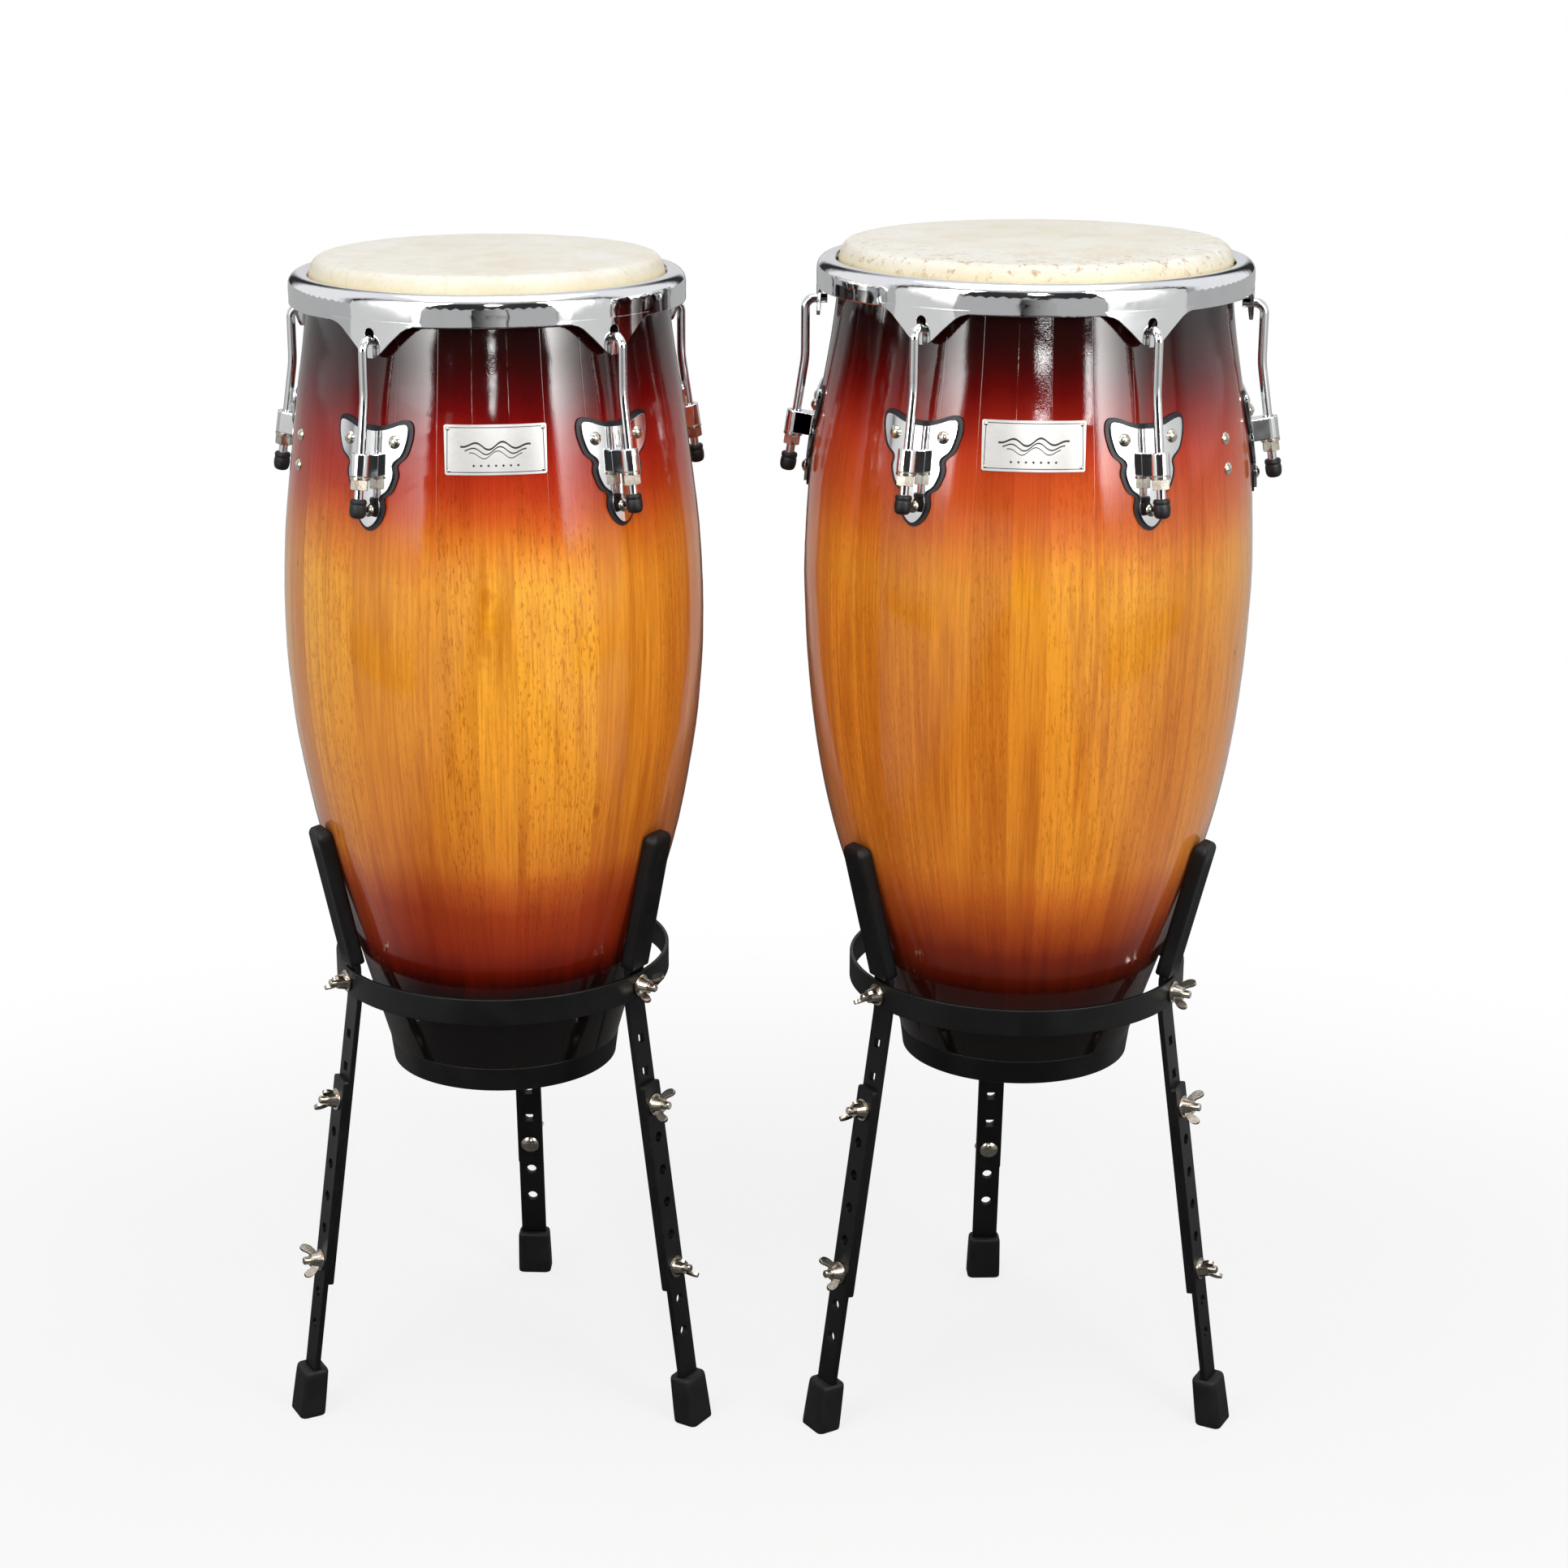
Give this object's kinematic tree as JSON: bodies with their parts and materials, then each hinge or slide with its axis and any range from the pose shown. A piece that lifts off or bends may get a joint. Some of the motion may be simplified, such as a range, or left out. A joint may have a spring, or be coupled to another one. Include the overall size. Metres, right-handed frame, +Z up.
{
  "type": "conga drums on stands",
  "caption": "Barrel-shaped wooden hand drums with hook-tensioned rawhide heads, each in a basket stand with rubber grips and height-adjustable legs.",
  "frame": {"origin": "floor level, middle of the pair's bounding box", "axes": "+Z up, the badges face -Y, the small drum is on the -X side and the large drum on the +X side"},
  "size_m": [0.7377, 0.3588, 0.8892],
  "materials": {
    "stave_wood": "gloss lacquer, dark red at the top fading to amber",
    "rawhide": "natural rawhide, satin",
    "chrome_plate": "bright chrome plate",
    "nickel_fasteners": "nickel plate",
    "flesh_ring_steel": "plain steel rod",
    "band_steel": "satin black",
    "badge_plate": "brushed",
    "stand_paint": "satin black powder coat",
    "grip_rubber": "ribbed matt rubber",
    "foot_rubber": "matt rubber",
    "cap_rubber": "matt rubber",
    "gasket_rubber": "smooth rubber"
  },
  "bodies": {
    "small_stand": {"small_stand_ring": "stand_paint", "small_stand_uprights": "stand_paint", "small_stand_grips": "grip_rubber", "small_stand_clamps": "nickel_fasteners"},
    "small_drum": {"small_shell": "stave_wood", "small_bottom_band": "band_steel", "small_head": "rawhide", "small_flesh_ring": "flesh_ring_steel", "small_side_plates": "chrome_plate", "small_plate_gaskets": "gasket_rubber", "small_shell_fasteners": "nickel_fasteners", "small_badge": "badge_plate"},
    "small_hoop": {"small_rim": "chrome_plate", "small_tension_rods": "chrome_plate", "small_rod_caps": "cap_rubber"},
    "small_nut_1": {"small_tension_nut_1": "nickel_fasteners"},
    "small_nut_2": {"small_tension_nut_2": "nickel_fasteners"},
    "small_nut_3": {"small_tension_nut_3": "nickel_fasteners"},
    "small_nut_4": {"small_tension_nut_4": "nickel_fasteners"},
    "small_nut_5": {"small_tension_nut_5": "nickel_fasteners"},
    "small_leg_1": {"small_lower_leg_1": "stand_paint", "small_foot_1": "foot_rubber", "small_leg_clamp_1": "nickel_fasteners"},
    "small_leg_2": {"small_lower_leg_2": "stand_paint", "small_foot_2": "foot_rubber", "small_leg_clamp_2": "nickel_fasteners"},
    "small_leg_3": {"small_lower_leg_3": "stand_paint", "small_foot_3": "foot_rubber", "small_leg_clamp_3": "nickel_fasteners"},
    "large_stand": {"large_stand_ring": "stand_paint", "large_stand_uprights": "stand_paint", "large_stand_grips": "grip_rubber", "large_stand_clamps": "nickel_fasteners"},
    "large_drum": {"large_shell": "stave_wood", "large_bottom_band": "band_steel", "large_head": "rawhide", "large_flesh_ring": "flesh_ring_steel", "large_side_plates": "chrome_plate", "large_plate_gaskets": "gasket_rubber", "large_shell_fasteners": "nickel_fasteners", "large_badge": "badge_plate"},
    "large_hoop": {"large_rim": "chrome_plate", "large_tension_rods": "chrome_plate", "large_rod_caps": "cap_rubber"},
    "large_nut_1": {"large_tension_nut_1": "nickel_fasteners"},
    "large_nut_2": {"large_tension_nut_2": "nickel_fasteners"},
    "large_nut_3": {"large_tension_nut_3": "nickel_fasteners"},
    "large_nut_4": {"large_tension_nut_4": "nickel_fasteners"},
    "large_nut_5": {"large_tension_nut_5": "nickel_fasteners"},
    "large_nut_6": {"large_tension_nut_6": "nickel_fasteners"},
    "large_leg_1": {"large_lower_leg_1": "stand_paint", "large_foot_1": "foot_rubber", "large_leg_clamp_1": "nickel_fasteners"},
    "large_leg_2": {"large_lower_leg_2": "stand_paint", "large_foot_2": "foot_rubber", "large_leg_clamp_2": "nickel_fasteners"},
    "large_leg_3": {"large_lower_leg_3": "stand_paint", "large_foot_3": "foot_rubber", "large_leg_clamp_3": "nickel_fasteners"}
  },
  "joints": [
    {"name": "small_drum_lift", "type": "slide", "parent": "small_stand", "child": "small_drum", "axis": [0, 0, 1], "range_m": [0, 0.25]},
    {"name": "small_hoop_travel", "type": "slide", "parent": "small_drum", "child": "small_hoop", "axis": [0, 0, 1], "range_m": [0, 0.003]},
    {"name": "small_nut_turn_1", "type": "hinge", "parent": "small_drum", "child": "small_nut_1", "pos_m": [-0.28198, -0.13848, 0.751], "axis": [0.0771, 0.1322, 0.9882], "range_deg": [-10, 1080]},
    {"name": "small_nut_turn_2", "type": "hinge", "parent": "small_drum", "child": "small_nut_2", "pos_m": [-0.09811, -0.11997, 0.751], "axis": [-0.1019, 0.1141, 0.9882], "range_deg": [-10, 1080]},
    {"name": "small_nut_turn_3", "type": "hinge", "parent": "small_drum", "child": "small_nut_3", "pos_m": [-0.35641, 0.03067, 0.751], "axis": [0.1495, -0.0325, 0.9882], "range_deg": [-10, 1080]},
    {"name": "small_nut_turn_4", "type": "hinge", "parent": "small_drum", "child": "small_nut_4", "pos_m": [-0.0589, 0.06063, 0.751], "axis": [-0.14, -0.0616, 0.9882], "range_deg": [-10, 1080]},
    {"name": "small_nut_turn_5", "type": "hinge", "parent": "small_drum", "child": "small_nut_5", "pos_m": [-0.21854, 0.15372, 0.751], "axis": [0.0153, -0.1522, 0.9882], "range_deg": [-10, 1080]},
    {"name": "small_leg_slide_1", "type": "slide", "parent": "small_stand", "child": "small_leg_1", "axis": [-0.1234, -0.0643, -0.9903], "range_m": [-0.052, 0.104]},
    {"name": "small_leg_slide_2", "type": "slide", "parent": "small_stand", "child": "small_leg_2", "axis": [0.1174, -0.0748, -0.9903], "range_m": [-0.052, 0.104]},
    {"name": "small_leg_slide_3", "type": "slide", "parent": "small_stand", "child": "small_leg_3", "axis": [0.0061, 0.139, -0.9903], "range_m": [-0.052, 0.104]},
    {"name": "large_drum_lift", "type": "slide", "parent": "large_stand", "child": "large_drum", "axis": [0, 0, 1], "range_m": [0, 0.25]},
    {"name": "large_hoop_travel", "type": "slide", "parent": "large_drum", "child": "large_hoop", "axis": [0, 0, 1], "range_m": [0, 0.003]},
    {"name": "large_nut_turn_1", "type": "hinge", "parent": "large_drum", "child": "large_nut_1", "pos_m": [0.0916, -0.15596, 0.7575], "axis": [0.0865, 0.1262, 0.9882], "range_deg": [-10, 1080]},
    {"name": "large_nut_turn_2", "type": "hinge", "parent": "large_drum", "child": "large_nut_2", "pos_m": [0.26169, -0.1692, 0.7575], "axis": [-0.066, 0.138, 0.9882], "range_deg": [-10, 1080]},
    {"name": "large_nut_turn_3", "type": "hinge", "parent": "large_drum", "child": "large_nut_3", "pos_m": [0.01802, -0.00205, 0.7575], "axis": [0.1525, -0.0119, 0.9882], "range_deg": [-10, 1080]},
    {"name": "large_nut_turn_4", "type": "hinge", "parent": "large_drum", "child": "large_nut_4", "pos_m": [0.3582, -0.02852, 0.7575], "axis": [-0.1525, 0.0119, 0.9882], "range_deg": [-10, 1080]},
    {"name": "large_nut_turn_5", "type": "hinge", "parent": "large_drum", "child": "large_nut_5", "pos_m": [0.11453, 0.13863, 0.7575], "axis": [0.066, -0.138, 0.9882], "range_deg": [-10, 1080]},
    {"name": "large_nut_turn_6", "type": "hinge", "parent": "large_drum", "child": "large_nut_6", "pos_m": [0.28462, 0.1254, 0.7575], "axis": [-0.0865, -0.1262, 0.9882], "range_deg": [-10, 1080]},
    {"name": "large_leg_slide_1", "type": "slide", "parent": "large_stand", "child": "large_leg_1", "axis": [-0.1246, -0.0763, -0.9893], "range_m": [-0.052, 0.104]},
    {"name": "large_leg_slide_2", "type": "slide", "parent": "large_stand", "child": "large_leg_2", "axis": [0.1284, -0.0697, -0.9893], "range_m": [-0.052, 0.104]},
    {"name": "large_leg_slide_3", "type": "slide", "parent": "large_stand", "child": "large_leg_3", "axis": [-0.0038, 0.146, -0.9893], "range_m": [-0.052, 0.104]},
    {"name": "large_stand_shift", "type": "slide", "parent": "small_stand", "child": "large_stand", "axis": [1, 0, 0], "range_m": [-0.03, 0.3]}
  ],
  "couplings": [
    {"joint": "small_nut_turn_1", "follows": "small_hoop_travel", "rad_per_m": 6209.2},
    {"joint": "small_nut_turn_2", "follows": "small_hoop_travel", "rad_per_m": 6209.2},
    {"joint": "small_nut_turn_3", "follows": "small_hoop_travel", "rad_per_m": 6209.2},
    {"joint": "small_nut_turn_4", "follows": "small_hoop_travel", "rad_per_m": 6209.2},
    {"joint": "small_nut_turn_5", "follows": "small_hoop_travel", "rad_per_m": 6209.2},
    {"joint": "large_nut_turn_1", "follows": "large_hoop_travel", "rad_per_m": 6209.2},
    {"joint": "large_nut_turn_2", "follows": "large_hoop_travel", "rad_per_m": 6209.2},
    {"joint": "large_nut_turn_3", "follows": "large_hoop_travel", "rad_per_m": 6209.2},
    {"joint": "large_nut_turn_4", "follows": "large_hoop_travel", "rad_per_m": 6209.2},
    {"joint": "large_nut_turn_5", "follows": "large_hoop_travel", "rad_per_m": 6209.2},
    {"joint": "large_nut_turn_6", "follows": "large_hoop_travel", "rad_per_m": 6209.2}
  ]
}
